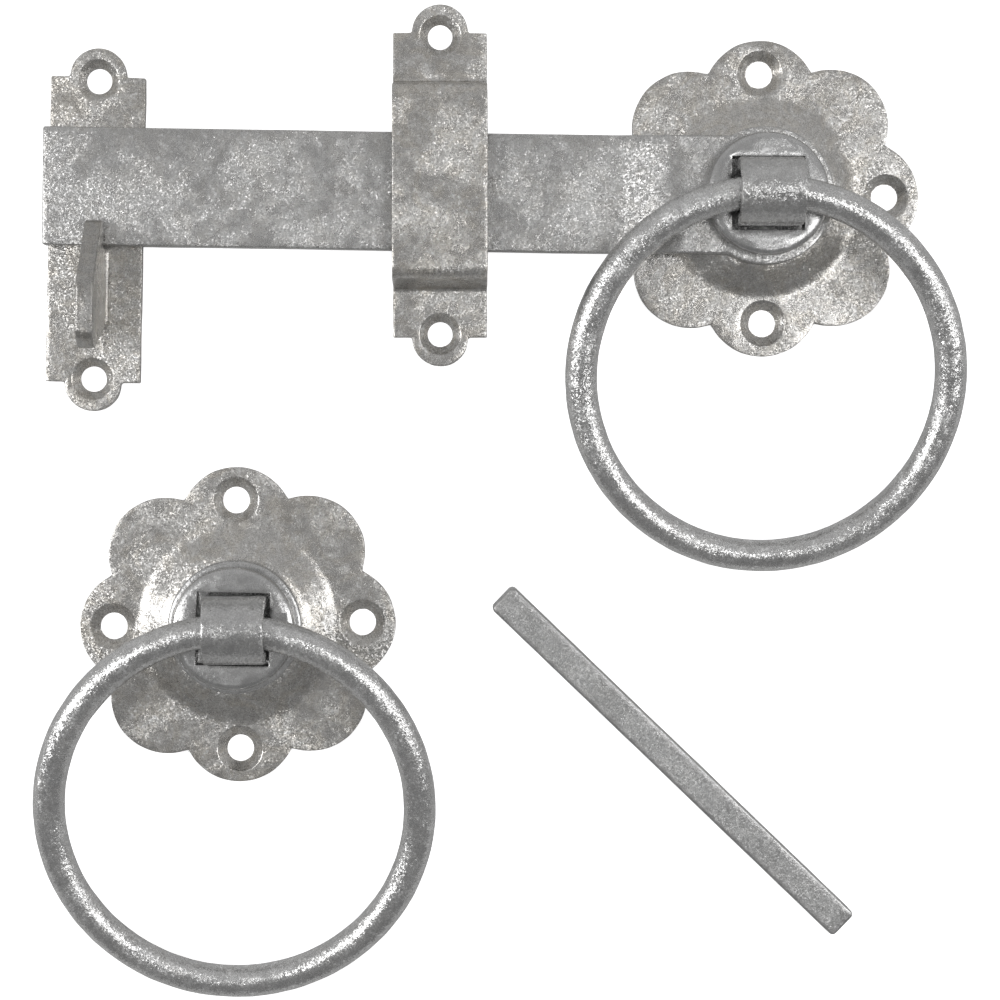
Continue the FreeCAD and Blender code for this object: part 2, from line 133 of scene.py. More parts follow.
class ZincShader:
    """Builds the node tree of one zinc finish."""

    def __init__(self, finish: ZincFinish, centre: Vector) -> None:
        """Start an empty material.

        Args:
            finish: The surface to make.
            centre: The point that turning marks run round.
        """
        self.finish = finish
        self.centre = centre
        self.material = bpy.data.materials.new(finish.slot)
        self.material.use_nodes = True
        self.tree = self.material.node_tree
        self.tree.nodes.clear()

    def node(self, kind: str, **settings: object) -> bpy.types.Node:
        """Add a node.

        Args:
            kind: The node's type without its ShaderNode prefix.
            settings: Properties to set on the node.

        Returns:
            The new node.
        """
        made = self.tree.nodes.new(f"ShaderNode{kind}")
        for name, value in settings.items():
            setattr(made, name, value)
        return made

    def link(self, start: Socket, end: Socket) -> None:
        """Join an output socket to an input socket."""
        self.tree.links.new(start, end)

    def noise(self, scale: float, detail: float, rough: float, warp: float = 0.0) -> Socket:
        """Add a noise pattern on the piece's own coordinates.

        Args:
            scale: Features per metre.
            detail: Octaves.
            rough: How strong the fine octaves are.
            warp: How far the pattern is distorted.

        Returns:
            The pattern's value, from 0 to 1.
        """
        made = self.node("TexNoise")
        made.inputs["Scale"].default_value = scale
        made.inputs["Detail"].default_value = detail
        made.inputs["Roughness"].default_value = rough
        made.inputs["Distortion"].default_value = warp
        self.link(self.coordinates, made.inputs["Vector"])
        return made.outputs["Fac"]

    def band(self, value: Socket, low: float, high: float, out: Pair = (0.0, 1.0)) -> Socket:
        """Stretch a range of a value over another range, smoothly.

        Args:
            value: The value to stretch.
            low: What becomes the first output.
            high: What becomes the second output.
            out: The two outputs.

        Returns:
            The stretched value.
        """
        made = self.node("MapRange", interpolation_type="SMOOTHSTEP")
        made.inputs["From Min"].default_value = low
        made.inputs["From Max"].default_value = high
        made.inputs["To Min"].default_value = out[0]
        made.inputs["To Max"].default_value = out[1]
        self.link(value, made.inputs["Value"])
        return made.outputs["Result"]

    def sum(self, parts: Sequence[tuple[Socket, float]]) -> Socket:
        """Add values, each with its weight.

        Args:
            parts: Pairs of a value and its weight.

        Returns:
            The weighted sum.
        """
        total: Socket | None = None
        for value, weight in parts:
            made = self.node("Math", operation="MULTIPLY_ADD")
            self.link(value, made.inputs[0])
            made.inputs[1].default_value = weight
            made.inputs[2].default_value = 0.0
            if total is not None:
                self.link(total, made.inputs[2])
            total = made.outputs[0]
        assert total is not None
        return total

    def product(self, first: Socket, second: Socket) -> Socket:
        """Multiply two values and return the product."""
        made = self.node("Math", operation="MULTIPLY")
        self.link(first, made.inputs[0])
        self.link(second, made.inputs[1])
        return made.outputs[0]

    def mixed(
        self, share: Socket, first: Sequence[float], second: Sequence[float], mode: str = "MIX",
        under: Socket | None = None,
    ) -> Socket:
        """Mix two colours by a value.

        Args:
            share: How much of the second colour shows.
            first: The first colour, used where nothing lies under.
            second: The second colour.
            mode: The mix node's blend type.
            under: A colour socket that takes the first colour's place.

        Returns:
            The mixed colour.
        """
        made = self.node("Mix", data_type="RGBA", blend_type=mode)
        made.inputs[6].default_value = (*first, 1.0)
        made.inputs[7].default_value = (*second, 1.0)
        self.link(share, made.inputs[0])
        if under is not None:
            self.link(under, made.inputs[6])
        return made.outputs[2]

    def cells(self, scale: float, output: str) -> Socket:
        """Add a pattern of small cells, the crystals of the zinc, and return one of its outputs."""
        made = self.node("TexVoronoi", feature="F1")
        made.inputs["Scale"].default_value = scale
        made.inputs["Randomness"].default_value = 1.0
        self.link(self.coordinates, made.inputs["Vector"])
        return made.outputs[output]

    def turning_rings(self) -> Socket:
        """Fine rings round the centre that a lathe leaves, as a value."""
        shift = self.node("Mapping", vector_type="POINT")
        shift.inputs["Location"].default_value = -self.centre
        wave = self.node("TexWave", wave_type="RINGS", rings_direction="Z")
        wave.inputs["Scale"].default_value = 210.0
        wave.inputs["Distortion"].default_value = 1.2
        wave.inputs["Detail"].default_value = 2.0
        source = self.node("TexCoord")
        self.link(source.outputs["Object"], shift.inputs["Vector"])
        self.link(shift.outputs["Vector"], wave.inputs["Vector"])
        return wave.outputs["Fac"]

    def vector(self, operation: str, first: Socket, second: Socket | Sequence[float]) -> Socket:
        """Combine two vectors, the second of which may be a constant, and return the result."""
        made = self.node("VectorMath", operation=operation)
        self.link(first, made.inputs[0])
        if isinstance(second, Socket):
            self.link(second, made.inputs[1])
        else:
            made.inputs[1].default_value = second
        return made.outputs["Vector"]

    def faceted(self, normal: Socket, share: Socket) -> Socket:
        """Tilt the surface crystal by crystal, each its own way.

        Args:
            normal: The surface's normal.
            share: How much of the full tilt there is, place by place.

        Returns:
            The tilted normal.
        """
        total = normal
        for scale, tilt in ((self.finish.grain_scale, 1.0), (self.finish.grain_scale * 0.5, 0.45)):
            spread = self.vector("SUBTRACT", self.cells(scale, "Color"), (0.5, 0.5, 0.5))
            length = self.sum(((share, 2.0 * tilt * self.finish.facet),))
            scaled = self.node("VectorMath", operation="SCALE")
            self.link(spread, scaled.inputs[0])
            self.link(length, scaled.inputs["Scale"])
            total = self.vector("ADD", total, scaled.outputs["Vector"])
        return self.vector("NORMALIZE", total, (0.0, 0.0, 0.0))

    def build(self) -> bpy.types.Material:
        """Lay out the whole tree.

        Returns:
            The finished material.
        """
        look = self.finish
        self.coordinates = self.node("TexCoord").outputs["Object"]
        patches = self.noise(look.patch_scale, 6.0, 0.62, 0.5)
        mottle = self.noise(look.mottle_scale, 7.0, 0.68, 0.3)
        wrinkle = self.noise(look.mottle_scale * 2.2, 4.0, 0.6, 1.1)
        grain = self.noise(look.grain_scale, 3.0, 0.65)
        streaks = self.noise(look.patch_scale * 2.4, 4.0, 0.55, 1.6)
        crystal = self.node("SeparateColor")
        self.link(self.cells(look.grain_scale * 0.62, "Color"), crystal.inputs[0])
        pits = self.band(self.cells(look.grain_scale * 0.36, "Distance"), 0.12, 0.26, (1.0, 0.0))
        crust = self.band(patches, 0.44, 0.60, (look.calm, 1.0))
        pit_mask = self.product(pits, self.band(mottle, 0.50, 0.60))
        # Painted glint: where some zinc crystals meet light mottling, a lighter base colour stands in for
        # light sparkling off them.
        painted_glint = self.product(self.band(crystal.outputs[0], 0.80, 0.93), self.band(mottle, 0.46, 0.60))

        tone = self.sum(((patches, 0.25), (mottle, 0.30), (wrinkle, 0.25), (grain, 0.90)))
        base = self.mixed(self.band(tone, 0.67, 1.03), [look.dark] * 3, [look.light] * 3)
        tint = (1.0, 1.0 - 0.05 * look.warmth, 1.0 - 0.13 * look.warmth)
        base = self.mixed(self.band(streaks, 0.40, 0.66, (0.45, 1.0)), (1, 1, 1), tint, "MULTIPLY", base)
        # Paint the glint into the base colour, brighter than the zinc's lightest tone.
        painted_glint_colour = [min(1.0, look.light * 1.35)] * 3
        painted_glint_share = self.sum(((painted_glint, look.sparkle),))
        base = self.mixed(painted_glint_share, (0, 0, 0), painted_glint_colour, "MIX", base)
        pit_share = self.sum(((pit_mask, look.pit_amount),))
        base = self.mixed(pit_share, (0, 0, 0), [look.dark * 0.3] * 3, "MIX", base)

        shader = self.node("BsdfPrincipled")
        shader.inputs["Metallic"].default_value = look.metallic
        self.link(base, shader.inputs["Base Color"])
        roughness = self.sum(((mottle, 0.5), (patches, 0.3), (grain, 0.2)))
        self.link(self.band(roughness, 0.38, 0.62, look.roughness), shader.inputs["Roughness"])

        heights = [
            (mottle, 0.30),
            (self.product(wrinkle, crust), 0.55),
            (self.product(grain, crust), look.grit),
            (self.product(pit_mask, crust), -0.35 * look.pit_amount),
        ]
        if look.turning_marks:
            heights.append((self.turning_rings(), 0.10))
        bump = self.node("Bump")
        bump.inputs["Strength"].default_value = 1.0
        bump.inputs["Distance"].default_value = look.relief
        self.link(self.sum(heights), bump.inputs["Height"])
        self.link(self.faceted(bump.outputs["Normal"], crust), shader.inputs["Normal"])
        output = self.node("OutputMaterial")
        self.link(shader.outputs[0], output.inputs["Surface"])
        return self.material


SHEET = ZincFinish("galvanised_sheet", 0.38, 0.70, 0.85, (0.24, 0.32), sparkle=0.6, facet=0.21)
# Painted shade: the hook's copy of the sheet finish has darker tones and less glint, so the whole hook reads
# darker against its plate, as if in shade.
HOOK_WITH_PAINTED_SHADE = replace(SHEET, dark=0.29, light=0.50, sparkle=0.2, facet=0.09)
FLAT_BAR = ZincFinish(
    "galvanised_bar", 0.40, 0.63, 0.35, (0.25, 0.32), pit_amount=0.5, sparkle=0.6, facet=0.18
)
TURNED = ZincFinish(
    "turned_zinc", 0.44, 0.58, 0.1, (0.22, 0.32), pit_amount=0.1, sparkle=0.1, relief=0.08 * MM,
    facet=0.06, turning_marks=True,
)
STRAP = ZincFinish(
    "galvanised_strap", 0.42, 0.64, 0.15, (0.20, 0.32), pit_amount=0.35, sparkle=0.45, facet=0.21, calm=0.5
)
ROD = ZincFinish(
    "galvanised_rod", 0.46, 0.74, 0.15, (0.18, 0.32), pit_amount=0.7, sparkle=0.7, facet=0.19, calm=0.55
)
SPINDLE = ZincFinish(
    "spindle_steel", 0.40, 0.54, 0.15, (0.30, 0.42), pit_amount=0.2, sparkle=0.25, relief=0.12 * MM,
    facet=0.09, calm=0.6,
)


# ---------------------------------------------------------------- the bench


class Bench:
    """Blender's own modelling operators, each used on one piece at a time."""

    @staticmethod
    def clear() -> None:
        """Leave edit mode and deselect everything."""
        if bpy.context.object and bpy.context.object.mode != "OBJECT":
            bpy.ops.object.mode_set(mode="OBJECT")
        bpy.ops.object.select_all(action="DESELECT")

    @staticmethod
    def mode(name: str) -> None:
        """Switch the active object to a mode, OBJECT or EDIT."""
        bpy.ops.object.mode_set(mode=name)

    @classmethod
    def hold(cls, piece: Piece) -> None:
        """Make one piece the only selected and active object."""
        cls.clear()
        piece.select_set(True)
        bpy.context.view_layer.objects.active = piece

    @staticmethod
    def named(name: str) -> Piece:
        """Name the primitive that was just added, apply its scale and return it."""
        piece = bpy.context.object
        piece.name = name
        piece.data.name = name
        bpy.ops.object.transform_apply(location=True, rotation=True, scale=True)
        return piece

    @classmethod
    def cylinder(
        cls, name: str, radius: float, low: float, high: float, at: Pair = (0.0, 0.0), sides: int = 128
    ) -> Piece:
        """Add an upright cylinder.

        Args:
            name: Its name.
            radius: Its radius.
            low: The height of its lower end.
            high: The height of its upper end.
            at: Where its axis stands.
            sides: How many sides it has.

        Returns:
            The cylinder.
        """
        cls.clear()
        place = (*at, (low + high) / 2)
        bpy.ops.mesh.primitive_cylinder_add(vertices=sides, radius=radius, depth=high - low, location=place)
        return cls.named(name)

    @classmethod
    def block(cls, name: str, low: Point, high: Point) -> Piece:
        """Add a box between its lowest and its highest corner and return it."""
        cls.clear()
        a, b = Vector(low), Vector(high)
        bpy.ops.mesh.primitive_cube_add(size=1, location=(a + b) / 2)
        bpy.context.object.scale = b - a
        return cls.named(name)

    @classmethod
    def strip(cls, name: str, width: float, path: Sequence[Pair]) -> Piece:
        """Fold a thin strip of sheet along a path of straight runs, from a first level run.

        Args:
            name: Its name.
            width: Its width, along X.
            path: Pairs of a place along Y and a height.

        Returns:
            The strip, with no thickness yet.
        """
        cls.clear()
        (start, height), (end, _) = path[0], path[1]
        bpy.ops.mesh.primitive_plane_add(size=1, location=(0, (start + end) / 2, height))
        bpy.context.object.scale = (width, abs(end - start), 1)
        piece = cls.named(name)
        cls.pick_edges(piece, lambda middle, _: abs(middle.y - end) < TINY)
        for (y0, z0), (y1, z1) in zip(path[1:], path[2:]):
            bpy.ops.mesh.extrude_edges_move(TRANSFORM_OT_translate={"value": (0, y1 - y0, z1 - z0)})
        cls.mode("OBJECT")
        return piece

    @classmethod
    def start_pick(cls, piece: Piece, kind: Pick) -> None:
        """Leave nothing of a piece selected, ready to pick elements of one kind."""
        cls.hold(piece)
        bpy.context.tool_settings.mesh_select_mode = kind.value
        cls.mode("EDIT")
        bpy.ops.mesh.select_all(action="DESELECT")
        cls.mode("OBJECT")

    @classmethod
    def pick_all(cls, piece: Piece) -> None:
        """Enter edit mode with the whole piece selected."""
        cls.hold(piece)
        cls.mode("EDIT")
        bpy.ops.mesh.select_all(action="SELECT")

    @classmethod
    def pick_edges(cls, piece: Piece, test: Test) -> None:
        """Enter edit mode with only the edges selected that pass a test.

        Args:
            piece: The piece to edit.
            test: Takes an edge's middle and its direction with length.
        """
        cls.start_pick(piece, Pick.EDGES)
        mesh = piece.data
        for edge in mesh.edges:
            a, b = (mesh.vertices[i].co for i in edge.vertices)
            edge.select = test((a + b) / 2, b - a)
        cls.mode("EDIT")

    @classmethod
    def pick_face(cls, piece: Piece, test: Test) -> None:
        """Enter edit mode with only the faces selected whose centre and normal pass a test."""
        cls.start_pick(piece, Pick.FACES)
        for face in piece.data.polygons:
            face.select = test(face.center, face.normal)
        cls.mode("EDIT")

    @classmethod
    def round_edges(cls, piece: Piece, offset: float, segments: int, test: Test) -> None:
        """Round the edges that pass a test.

        Args:
            piece: The piece to edit.
            offset: How far the rounding reaches from each edge.
            segments: How many steps the rounding has.
            test: Takes an edge's middle and its direction with length.
        """
        cls.pick_edges(piece, test)
        bpy.ops.mesh.bevel(offset=offset, segments=segments, affect="EDGES", clamp_overlap=False)
        cls.mode("OBJECT")

    @staticmethod
    def step_in(by: float, up: float) -> None:
        """Inset the selected face and move what is left of it up, staying in edit mode."""
        bpy.ops.mesh.inset(thickness=by, depth=0)
        if up:
            bpy.ops.transform.translate(value=(0, 0, up))

    @classmethod
    def apply(cls, piece: Piece, kind: str, **settings: object) -> None:
        """Add a modifier, set it up and apply it.

        Args:
            piece: The piece that gets it.
            kind: The modifier's type.
            settings: Its properties.
        """
        cls.hold(piece)
        modifier = piece.modifiers.new(kind.lower(), kind)
        for name, value in settings.items():
            setattr(modifier, name, value)
        bpy.ops.object.modifier_apply(modifier=modifier.name)

    @classmethod
    def combine(cls, piece: Piece, how: Join, *others: Piece) -> None:
        """Weld, cut or trim a piece with others, which are used up.

        Args:
            piece: The piece that stays.
            how: What the others do to it.
            others: The solids that work on it.

        Raises:
            RuntimeError: If nothing of the piece is left.
        """
        for other in others:
            cls.apply(piece, "BOOLEAN", operation=how.value, object=other, solver="EXACT")
            bpy.data.objects.remove(other)
        if not piece.data.polygons:
            raise RuntimeError(f"{piece.name} was cut away")

    @classmethod
    def keep_below(cls, piece: Piece, point: Point, normal: Point) -> None:
        """Saw a piece along a plane, keep the side that the normal points away from, and close it."""
        cls.pick_all(piece)
        bpy.ops.mesh.bisect(
            plane_co=point, plane_no=Vector(normal).normalized(), use_fill=True, clear_outer=True,
            threshold=TINY / 10,
        )
        cls.mode("OBJECT")

    @classmethod
    def level(cls, piece: Piece, height: float) -> None:
        """Bring every point that is all but at a height exactly to it."""
        cls.start_pick(piece, Pick.POINTS)
        for vertex in piece.data.vertices:
            vertex.select = abs(vertex.co.z - height) < TINY
        cls.mode("EDIT")
        bpy.ops.transform.resize(value=(1, 1, 0), center_override=(0, 0, height))
        cls.mode("OBJECT")

    @classmethod
    def thicken(cls, piece: Piece, thickness: float) -> None:
        """Give a folded strip its thickness, half to each side."""
        cls.apply(piece, "SOLIDIFY", thickness=thickness, offset=0.0, use_even_offset=True)

    @classmethod
    def soften(cls, piece: Piece, width: float, segments: int = 3, angle: float = 32.0) -> None:
        """Take the sharpness off every edge that turns by more than an angle.

        Args:
            piece: The piece to soften.
            width: How far each rounding reaches.
            segments: Its steps.
            angle: The least turn, in degrees, that is rounded.
        """
        cls.pick_all(piece)
        bpy.ops.mesh.remove_doubles(threshold=TINY)
        bpy.ops.mesh.dissolve_limited(angle_limit=math.radians(0.5))
        cls.mode("OBJECT")
        cls.apply(
            piece, "BEVEL", width=width, segments=segments, limit_method="ANGLE",
            angle_limit=math.radians(angle), use_clamp_overlap=False,
        )

    @classmethod
    def slice_up(cls, piece: Piece, spacing: float) -> None:
        """Score a piece with even cuts along X and Y, so that its flats can carry ripples."""
        cls.hold(piece)
        low, high = (Vector(piece.bound_box[i]) for i in (0, 6))
        cls.mode("EDIT")
        for axis in (0, 1):
            normal = Vector((0, 0, 0))
            normal[axis] = 1
            count = int((high[axis] - low[axis]) / spacing)
            for index in range(1, count + 1):
                point = low + normal * (spacing * (index - 0.5))
                bpy.ops.mesh.select_all(action="SELECT")
                bpy.ops.mesh.bisect(plane_co=point, plane_no=normal, threshold=TINY / 10)
        bpy.ops.mesh.select_all(action="SELECT")
        bpy.ops.mesh.remove_doubles(threshold=TINY)
        bpy.ops.mesh.dissolve_degenerate(threshold=TINY)
        cls.mode("OBJECT")

    @classmethod
    def ripple(cls, piece: Piece, depth: float, size: float) -> None:
        """Sink the surface unevenly, as dipped zinc lies, never above where it was.

        Args:
            piece: The piece to ripple.
            depth: The deepest that it sinks.
            size: How wide a ripple is.
        """
        texture = bpy.data.textures.new(f"{piece.name}_ripple", "CLOUDS")
        texture.noise_scale = size
        texture.noise_depth = 2
        cls.apply(piece, "DISPLACE", texture=texture, strength=depth, mid_level=1.0, texture_coords="LOCAL")
        bpy.data.textures.remove(texture)

    @classmethod
    def dip(cls, piece: Piece, spacing: float, depth: float, size: float) -> None:
        """Score a piece at a spacing, then ripple it to a depth with ripples of a size."""
        cls.slice_up(piece, spacing)
        cls.ripple(piece, depth, size)

    @classmethod
    def set_down(cls, piece: Piece, at: Point, turn: float = 0.0, lean: float = 0.0) -> None:
        """Turn a piece about Z and lean it about X, then move it, all in its mesh.

        Args:
            piece: The piece to place.
            at: Where its own origin goes.
            turn: Its turn about Z, in degrees.
            lean: Its lean about X, in degrees, before the turn.
        """
        cls.hold(piece)
        piece.rotation_euler = Euler((math.radians(lean), 0, math.radians(turn)))
        piece.location = at
        bpy.ops.object.transform_apply(location=True, rotation=True, scale=True)

    @classmethod
    def shade(cls, piece: Piece, angle: float = 30.0) -> None:
        """Shade a piece smooth, with edges sharper than an angle left sharp."""
        cls.hold(piece)
        bpy.ops.object.shade_smooth_by_angle(angle=math.radians(angle))


# ---------------------------------------------------------------- sub-assemblies


def node_centre(node: str) -> Vector:
    """The middle of a CAD node's box."""
    low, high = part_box(node)
    return (low + high) / 2


@dataclass
class SubAssembly:
    """What every sub-assembly shares: how a piece is finished and handed over."""

    pieces: list[Piece] = field(default_factory=list, init=False)

    def settle(self, piece: Piece, node: str, turn: float = 0.0) -> None:
        """Turn a piece about Z, then move it level to the middle of its CAD node."""
        centre = node_centre(node)
        Bench.set_down(piece, (centre.x, centre.y, 0), turn)

    def hand_over(self, piece: Piece, node: str, body: Body, finish: ZincFinish) -> None:
        """Dress a piece, put it on its body and let it stand for its CAD node.

        Args:
            piece: The finished mesh.
            node: The CAD node that it replaces.
            body: The body that it rides on.
            finish: Its surface.
        """
        Bench.shade(piece)
        piece.data.materials.clear()
        piece.data.materials.append(ZincShader(finish, node_centre(node)).build())
        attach(piece, body.value)
        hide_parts(node)
        self.pieces.append(piece)
        LOG.info("%s: %d faces", piece.name, len(piece.data.polygons))


@dataclass
class ScrewHole:
    """A countersunk hole, as the cutter that makes it."""

    radius: float
    countersink_radius: float
    thickness: float
    rim_rounding: float = 0.25 * MM

    def cutter(self, at: Pair) -> Piece:
        """Make a solid with the hole's shape at a place, a little taller than the plate, and return it."""
        drill = Bench.cylinder("drill", self.radius, -MM, self.thickness + MM, at, sides=64)
        over = 0.5 * MM
        depth = self.countersink_radius - self.radius
        Bench.clear()
        bpy.ops.mesh.primitive_cone_add(
            vertices=64, radius1=self.radius, radius2=self.countersink_radius + over, depth=depth + over,
            location=(*at, self.thickness - (depth - over) / 2),
        )
        Bench.combine(drill, Join.WELD, Bench.named("countersink"))
        return drill

    def sink_into(self, plate: Piece, at: Pair) -> None:
        """Drill the hole through a plate and take the edge off its rim.

        Args:
            plate: The plate, with its face at this hole's thickness.
            at: Where the hole's axis stands.
        """
        Bench.combine(plate, Join.CUT, self.cutter(at))
        axis = Vector(at)
        Bench.round_edges(
            plate, self.rim_rounding, 3,
            lambda middle, along: abs(middle.z - self.thickness) < TINY
            and abs((middle.xy - axis).length - self.countersink_radius) < 0.05 * MM
            and along.length < MM,
        )


@dataclass
class Rose(SubAssembly):
    """A scalloped plate with a pressed dome."""

    side: str = "latch"
    thickness: float = 2.5 * MM
    lobes: int = 8
    lobe_circle: float = 25.6 * MM
    lobe_radius: float = 14.4 * MM
    dome_foot: float = 24.3 * MM
    dome_top: float = 17.5 * MM
    dome_rise: float = 4.5 * MM
    bore: float = 7.4 * MM
    hole_circle: float = 31.5 * MM
    holes: int = 4
    hole_radius: float = 3.25 * MM
    countersink_radius: float = 5.7 * MM
    foot_rounding: float = 1.3 * MM
    top_rounding: float = 1.6 * MM
    turn: float = 0.8

    def outline(self) -> Piece:
        """Weld the lobes round a core, taller than the plate.

        Returns:
            A prism with the plate's outline.
        """
        low, high = -2 * MM, 12 * MM
        prism = Bench.cylinder("core", self.lobe_circle, low, high, sides=96)
        for index in range(self.lobes):
            angle = math.tau * index / self.lobes
            at = (self.lobe_circle * math.cos(angle), self.lobe_circle * math.sin(angle))
            Bench.combine(prism, Join.WELD, Bench.cylinder("lobe", self.lobe_radius, low, high, at, 112))
        return prism

    def pressing(self) -> Piece:
        """Press the dome up out of a round blank.

        Returns:
            The round pressing, before it is trimmed to its outline.
        """
        blank_radius = self.lobe_circle + self.lobe_radius + 2 * MM
        blank = Bench.cylinder(f"{self.side}_rose_plate", blank_radius, 0, self.thickness, sides=160)
        slope = math.atan(self.dome_rise / (self.dome_foot - self.dome_top))
        setback = self.thickness * math.tan(slope / 2)
        for facing, shift in ((1, 0.0), (-1, setback)):
            Bench.pick_face(blank, lambda _, normal: normal.z * facing > 0.9)
            Bench.step_in(blank_radius - self.dome_foot + shift, 0)
            Bench.step_in(self.dome_foot - self.dome_top, self.dome_rise)
            Bench.mode("OBJECT")
        for radius, height, reach in (
            (self.dome_foot, self.thickness, self.foot_rounding),
            (self.dome_top, self.thickness + self.dome_rise, self.top_rounding),
        ):
            Bench.round_edges(
                blank, reach, 5,
                lambda middle, _: abs(middle.xy.length - radius) < 0.1 * MM and abs(middle.z - height) < TINY,
            )
        return blank

    def build(self) -> None:
        """Make the rose and hand it over."""
        plate = self.pressing()
        top = self.thickness + self.dome_rise + MM
        Bench.combine(plate, Join.CUT, Bench.cylinder("bore", self.bore, -MM, top, sides=96))
        Bench.combine(plate, Join.TRIM, self.outline())
        Bench.soften(plate, 0.35 * MM)
        hole = ScrewHole(self.hole_radius, self.countersink_radius, self.thickness)
        for index in range(self.holes):
            angle = math.tau * index / self.holes
            hole.sink_into(plate, (self.hole_circle * math.cos(angle), self.hole_circle * math.sin(angle)))
        Bench.dip(plate, spacing=2.4 * MM, depth=0.28 * MM, size=7 * MM)
        self.settle(plate, f"{self.side}_rose", self.turn)
        self.hand_over(plate, f"{self.side}_rose", Body.FIXINGS, SHEET)


@dataclass
class Drive(SubAssembly):
    """A turned boss with its eye, its ring and what holds it in the rose."""

    side: str = "latch"
    drive_body: Body = Body.LATCH_DRIVE
    ring_body: Body = Body.LATCH_RING
    turn: float = 0.0
    boss_radius: float = 15.25 * MM
    boss_back: float = 12.2 * MM
    boss_front: float = 18.0 * MM
    chamfer: float = 1.3 * MM
    recess: float = 18.0 * MM
    recess_floor: float = 12.8 * MM
    neck_radius: float = 7.3 * MM
    neck_play: float = 0.1 * MM
    neck_square: float = 15.0 * MM
    bar_back: float = 7.2 * MM
    head_radius: float = 8.8 * MM
    socket: float = 8.3 * MM
    socket_depth: float = 9.5 * MM
    eye_middle_radius: float = 6.75 * MM
    eye_thickness: float = 3.3 * MM
    ring_radius: float = 46.1 * MM
    rod_radius: float = 4.1 * MM

    def square(self, name: str, size: float, low: float, high: float) -> Piece:
        """An upright square bar about the drive's axis."""
        half = size / 2
        return Bench.block(name, (-half, -half, low), (half, half, high))

    def build_boss(self) -> None:
        """Turn the boss, cut its recess, and put the necks and the rivet head behind it."""
        low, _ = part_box(f"{self.side}_boss")
        washer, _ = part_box(f"{self.side}_back_washer")
        boss = Bench.cylinder(f"{self.side}_drive_boss", self.boss_radius, self.boss_back, self.boss_front)
        Bench.round_edges(boss, self.chamfer, 2, lambda middle, _: abs(middle.z - self.boss_front) < TINY)
        Bench.combine(
            boss,
            Join.WELD,
            self.square("square_neck", self.neck_square, self.bar_back, self.boss_back + MM),
            Bench.cylinder("neck", self.neck_radius, washer.z - 0.5 * MM, self.boss_back + MM),
            Bench.cylinder("rivet_head", self.head_radius, low.z, washer.z),
        )
        Bench.combine(
            boss,
            Join.CUT,
            self.square("recess", self.recess, self.recess_floor, self.boss_front + MM),
            self.square("socket", self.socket, low.z - MM, low.z + self.socket_depth),
        )
        Bench.soften(boss, 0.22 * MM, 2)
        Bench.dip(boss, spacing=3 * MM, depth=0.06 * MM, size=6 * MM)
        self.settle(boss, f"{self.side}_boss", self.turn)
        self.hand_over(boss, f"{self.side}_boss", self.drive_body, TURNED)

    def build_disc(self, node: str, bore: Piece, edge: float) -> None:
        """Make a washer or spacer in the place of its CAD node.

        Args:
            node: The CAD node.
            bore: The cutter of its hole, about the origin.
            edge: How far its edges are softened.
        """
        low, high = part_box(node)
        disc = Bench.cylinder(f"{node}_disc", (high.x - low.x) / 2, low.z, high.z)
        Bench.combine(disc, Join.CUT, bore)
        Bench.soften(disc, edge)
        Bench.dip(disc, spacing=3 * MM, depth=0.05 * MM, size=6 * MM)
        self.settle(disc, node, self.turn)
        self.hand_over(disc, node, self.drive_body, TURNED)

    def build_eye(self) -> None:
        """Bend the strap round the rod, with both legs down in the recess."""
        low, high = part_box(f"{self.side}_eye")
        radius, steps = self.eye_middle_radius, 24
        leg = high.z - low.z - radius - self.eye_thickness / 2
        path = [(0.0, 0.0), (leg, 0.0)]
        for index in range(1, steps + 1):
            angle = math.pi * index / steps
            path.append((leg + radius * math.sin(angle), radius * (1 - math.cos(angle))))
        path.append((0.0, 2 * radius))
        eye = Bench.strip(f"{self.side}_strap_eye", high.x - low.x, path)
        Bench.thicken(eye, self.eye_thickness)
        Bench.soften(eye, 0.55 * MM, 3, 40)
        centre = (low + high) / 2
        Bench.set_down(eye, (centre.x, centre.y + radius, low.z), lean=90)
        Bench.dip(eye, spacing=1.6 * MM, depth=0.12 * MM, size=4 * MM)
        self.hand_over(eye, f"{self.side}_eye", self.drive_body, STRAP)

    def build_ring(self) -> None:
        """Bend the ring from round rod and let its far side down on to the table."""
        joint = next(j for j in frame["joints"] if j["child"] == self.ring_body.value)
        pivot = Vector(joint["pos_m"])
        drop = pivot.z - self.rod_radius
        lean = math.asin(drop / (2 * self.ring_radius))
        Bench.clear()
        bpy.ops.mesh.primitive_torus_add(
            major_radius=self.ring_radius, minor_radius=self.rod_radius, major_segments=288,
            minor_segments=48,
        )
        ring = Bench.named(f"{self.side}_rod_ring")
        Bench.ripple(ring, depth=0.22 * MM, size=5 * MM)
        at = (pivot.x, pivot.y - self.ring_radius * math.cos(lean), pivot.z - drop / 2)
        Bench.set_down(ring, at, lean=math.degrees(lean))
        self.hand_over(ring, f"{self.side}_ring", self.ring_body, ROD)

    def build(self) -> None:
        """Make every piece of the drive."""
        self.build_boss()
        bore = Bench.cylinder("bore", self.neck_radius + self.neck_play, -MM, 10 * MM, sides=96)
        self.build_disc(f"{self.side}_back_washer", bore, 0.15 * MM)
        self.build_eye()
        self.build_ring()


@dataclass
class HandleDrive(Drive):
    """The drive on the gate's other face, with a spacer in the bar's place."""

    side: str = "handle"
    drive_body: Body = Body.HANDLE_DRIVE
    ring_body: Body = Body.HANDLE_RING
    turn: float = -1.2
    square_play: float = 0.3 * MM

    def build(self) -> None:
        """Make the drive and its spacer."""
        super().build()
        size = self.neck_square + self.square_play
        hole = self.square("hole", size, self.bar_back - MM, self.boss_back + MM)
        self.build_disc("handle_spacer", hole, 0.7 * MM)


